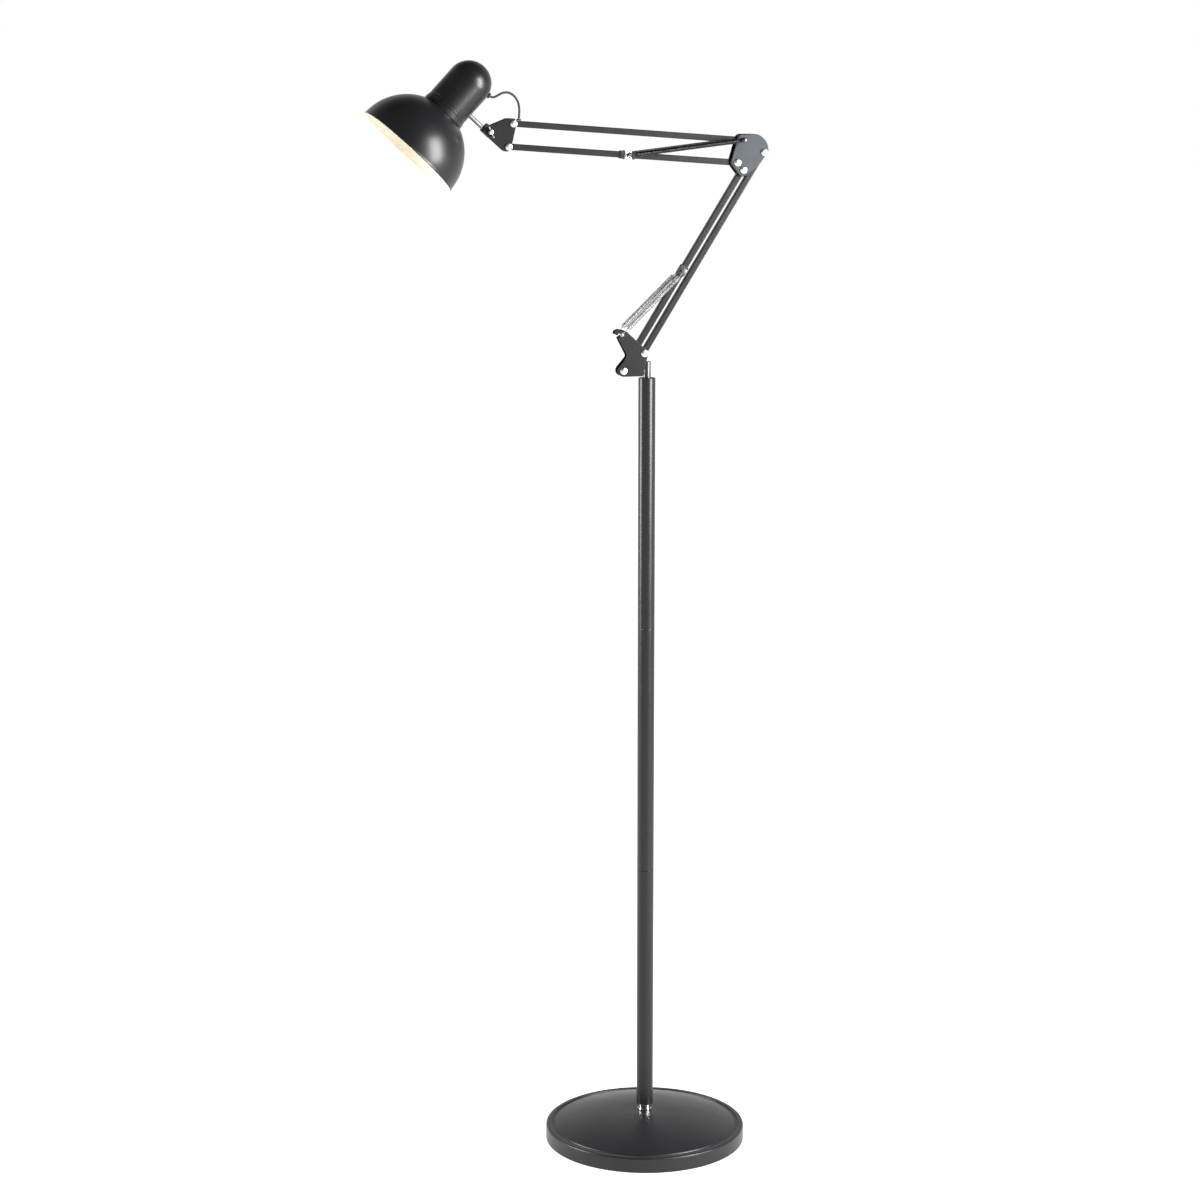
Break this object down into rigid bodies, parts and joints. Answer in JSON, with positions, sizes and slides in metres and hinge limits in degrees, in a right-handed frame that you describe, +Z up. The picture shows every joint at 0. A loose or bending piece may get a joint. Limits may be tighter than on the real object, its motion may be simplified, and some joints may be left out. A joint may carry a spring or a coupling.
{
  "type": "adjustable arm floor lamp",
  "caption": "Floor lamp with a round weighted base, a straight pole and a spring-balanced parallelogram arm that carries a tilting dome shade.",
  "frame": {"origin": "centre of the base's underside, on the floor", "axes": "+Z up along the pole; the arm lies in the XZ plane with the head towards -X; +Y is the back, where the cord inlet is"},
  "size_m": [0.5824, 0.309, 1.6118],
  "materials": {
    "black_paint": "satin black powder coat on steel",
    "bright_steel": "bright nickel-plated steel",
    "dark_steel": "dark phosphated steel",
    "chrome": "polished chrome",
    "cast_iron": "as cast",
    "rubber": "black rubber",
    "black_plastic": "moulded black nylon",
    "white_plastic": "white heat-resistant plastic",
    "bulb_glass": "frosted, warm when lit",
    "cap_metal": "plain rolled screw cap"
  },
  "bodies": {
    "stand": {"base_pad": "rubber", "base_weight": "cast_iron", "base_cover": "black_paint", "cord_gland": "rubber", "base_washer": "bright_steel", "base_bolt": "bright_steel", "base_collar": "chrome", "pole_foot_insert": "bright_steel", "pole_lower": "black_paint", "pole_middle": "black_paint", "pole_upper": "black_paint", "pole_stud_lower": "bright_steel", "pole_stud_upper": "bright_steel", "pole_top_bush": "black_plastic"},
    "yoke": {"swivel_pin": "dark_steel", "yoke_plate_front": "black_paint", "yoke_plate_rear": "black_paint", "yoke_rivet_left": "bright_steel", "yoke_rivet_right": "bright_steel", "claw_pin": "bright_steel"},
    "lower_arm_left": {"lower_tube_left": "black_paint", "lower_anchor_sleeve": "black_plastic", "lower_anchor_pin": "bright_steel"},
    "lower_arm_right": {"lower_tube_right": "black_paint"},
    "lower_spring_foot": {"lower_spring_front": "bright_steel", "lower_spring_rear": "bright_steel"},
    "lower_spring_head": {"lower_spring_eye_front": "bright_steel", "lower_spring_eye_rear": "bright_steel"},
    "elbow": {"elbow_plate_front": "black_paint", "elbow_plate_rear": "black_paint", "elbow_rivet_inner": "bright_steel", "elbow_rivet_lower": "bright_steel", "elbow_rivet_outer": "bright_steel", "elbow_spring_pin": "dark_steel"},
    "forearm_upper": {"forearm_tube_upper": "black_paint", "tube_grommet": "rubber"},
    "forearm_lower": {"forearm_tube_lower": "black_paint", "forearm_clamp_sleeve": "black_plastic", "forearm_clamp_band": "bright_steel", "forearm_clamp_pin": "dark_steel", "upper_spring_front": "dark_steel", "upper_spring_rear": "dark_steel"},
    "head_bracket": {"head_plate_front": "black_paint", "head_plate_rear": "black_paint", "head_rivet_upper": "bright_steel", "head_rivet_lower": "bright_steel", "clamp_bolt": "bright_steel", "head_cable": "rubber"},
    "wing_nut": {"wing_nut": "bright_steel"},
    "head_knuckle": {"knuckle_block": "black_plastic"},
    "lamp_head": {"head_rod": "chrome", "rod_nut": "bright_steel", "shade": "black_paint", "shade_ring_nut": "white_plastic", "lamp_holder": "white_plastic", "neck_ring": "black_paint", "neck_housing": "black_paint", "neck_grommet": "rubber", "bulb_glass": "bulb_glass", "bulb_cap": "cap_metal"}
  },
  "joints": [
    {"name": "mast_swivel", "type": "hinge", "parent": "stand", "child": "yoke", "pos_m": [0, 0, 1.16], "axis": [0, 0, 1], "range_deg": [-170, 170]},
    {"name": "lower_arm_lift", "type": "hinge", "parent": "yoke", "child": "lower_arm_left", "pos_m": [-0.0365, 0, 1.1713], "axis": [0, -1, 0], "range_deg": [-3, 30]},
    {"name": "lower_right_link", "type": "hinge", "parent": "yoke", "child": "lower_arm_right", "pos_m": [-0.00585, 0, 1.19621], "axis": [0, -1, 0], "range_deg": [-3, 30]},
    {"name": "elbow_level", "type": "hinge", "parent": "lower_arm_left", "child": "elbow", "pos_m": [0.14006, 0, 1.45717], "axis": [0, -1, 0], "range_deg": [-30, 3]},
    {"name": "lower_spring_swing", "type": "hinge", "parent": "yoke", "child": "lower_spring_foot", "pos_m": [-0.041, 0, 1.2244], "axis": [0, -1, 0], "range_deg": [-4.5, 41.5]},
    {"name": "lower_spring_stretch", "type": "slide", "parent": "lower_spring_foot", "child": "lower_spring_head", "axis": [0.7184, 0, 0.6956], "range_m": [-0.0156, 0.0017], "deforming": ["lower_spring_front", "lower_spring_rear", "lower_spring_eye_front", "lower_spring_eye_rear"]},
    {"name": "forearm_lift", "type": "hinge", "parent": "elbow", "child": "forearm_upper", "pos_m": [0.13828, 0, 1.49948], "axis": [0, 1, 0], "range_deg": [-45, 45]},
    {"name": "forearm_lower_link", "type": "hinge", "parent": "elbow", "child": "forearm_lower", "pos_m": [0.13129, 0, 1.46744], "axis": [0, 1, 0], "range_deg": [-45, 45], "deforming": ["upper_spring_front", "upper_spring_rear"]},
    {"name": "bracket_level", "type": "hinge", "parent": "forearm_upper", "child": "head_bracket", "pos_m": [-0.19682, 0, 1.52409], "axis": [0, 1, 0], "range_deg": [-45, 45]},
    {"name": "head_tilt", "type": "hinge", "parent": "head_bracket", "child": "head_knuckle", "pos_m": [-0.22981, 0, 1.51285], "axis": [0, -1, 0], "range_deg": [-40, 50], "deforming": ["head_cable"]},
    {"name": "wing_nut_turn", "type": "hinge", "parent": "head_bracket", "child": "wing_nut", "pos_m": [-0.22981, -0.012, 1.51285], "axis": [0, -1, 0], "continuous": true},
    {"name": "head_twist", "type": "hinge", "parent": "head_knuckle", "child": "lamp_head", "pos_m": [-0.23158, 0, 1.51094], "axis": [-0.7314, 0, 0.682], "range_deg": [-60, 60]}
  ],
  "couplings": [
    {"joint": "lower_right_link", "follows": "lower_arm_lift", "ratio": 1},
    {"joint": "elbow_level", "follows": "lower_arm_lift", "ratio": -1},
    {"joint": "lower_spring_swing", "follows": "lower_arm_lift", "ratio": 1.356},
    {"joint": "lower_spring_stretch", "follows": "lower_arm_lift", "m_per_rad": -0.02936},
    {"joint": "forearm_lower_link", "follows": "forearm_lift", "ratio": 1},
    {"joint": "bracket_level", "follows": "forearm_lift", "ratio": -1}
  ]
}
